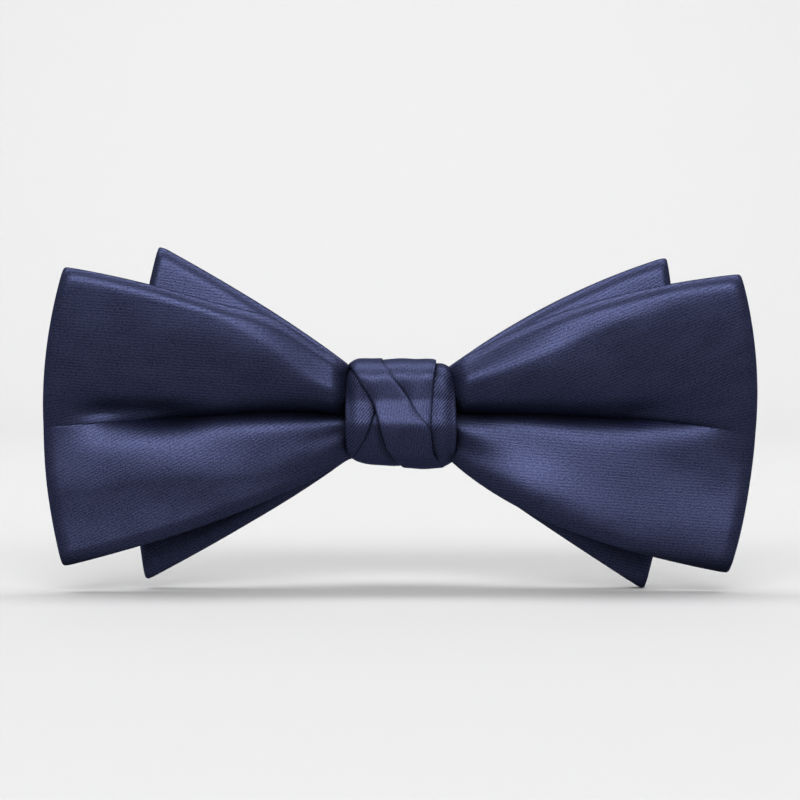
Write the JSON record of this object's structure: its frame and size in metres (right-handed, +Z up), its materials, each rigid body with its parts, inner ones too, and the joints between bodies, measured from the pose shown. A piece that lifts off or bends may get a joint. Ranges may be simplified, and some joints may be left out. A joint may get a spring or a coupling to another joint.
{
  "type": "bow tie",
  "caption": "Ready-tied double-layer satin bow tie with pinched loops, a wrapped knot and a sprung lever clip behind it for the collar.",
  "frame": {"origin": "middle of the clip plate's back face, which lies against the collar, at the height of the knot's centre", "axes": "+X along the tie to the right of someone looking at its front, -Y out of the front, +Z up, as worn"},
  "size_m": [0.1207, 0.0218, 0.0579],
  "materials": {
    "navy_satin": "warp-faced satin with a fine twill line and a soft sheen",
    "interlining": "matt woven stiffener",
    "felt": "matt needled felt",
    "thread": "twisted polyester thread",
    "nickel_steel": "nickel-plated stamped steel, lightly brushed",
    "spring_steel": "drawn spring wire",
    "grip_rubber": "matt ribbed rubber"
  },
  "bodies": {
    "tie": {"front_bow_satin_face": "navy_satin", "front_bow_interlining": "interlining", "front_bow_satin_lining": "navy_satin", "rear_bow_satin_face": "navy_satin", "rear_bow_interlining": "interlining", "rear_bow_satin_lining": "navy_satin", "knot_pad": "felt", "knot_strip_base": "navy_satin", "knot_strip_left": "navy_satin", "knot_strip_right": "navy_satin", "knot_strip_upper": "navy_satin", "knot_strip_crossing": "navy_satin", "waist_binding_thread": "thread", "bow_seam_stitches": "thread", "knot_stitches": "thread", "clip_strap": "navy_satin", "clip_strap_stitches": "thread", "clip_plate": "nickel_steel", "clip_grip_pad": "grip_rubber", "clip_hinge_pin": "nickel_steel", "clip_torsion_spring": "spring_steel"},
    "lever": {"clip_lever": "nickel_steel"}
  },
  "joints": [
    {"name": "lever_hinge", "type": "hinge", "parent": "tie", "child": "lever", "pos_m": [0, 0.003, 0.0032], "axis": [1, 0, 0], "range_deg": [0, 28], "stiffness_Nm_per_rad": 0.08, "springref_deg": -34.38, "deforming": ["clip_torsion_spring"]}
  ]
}
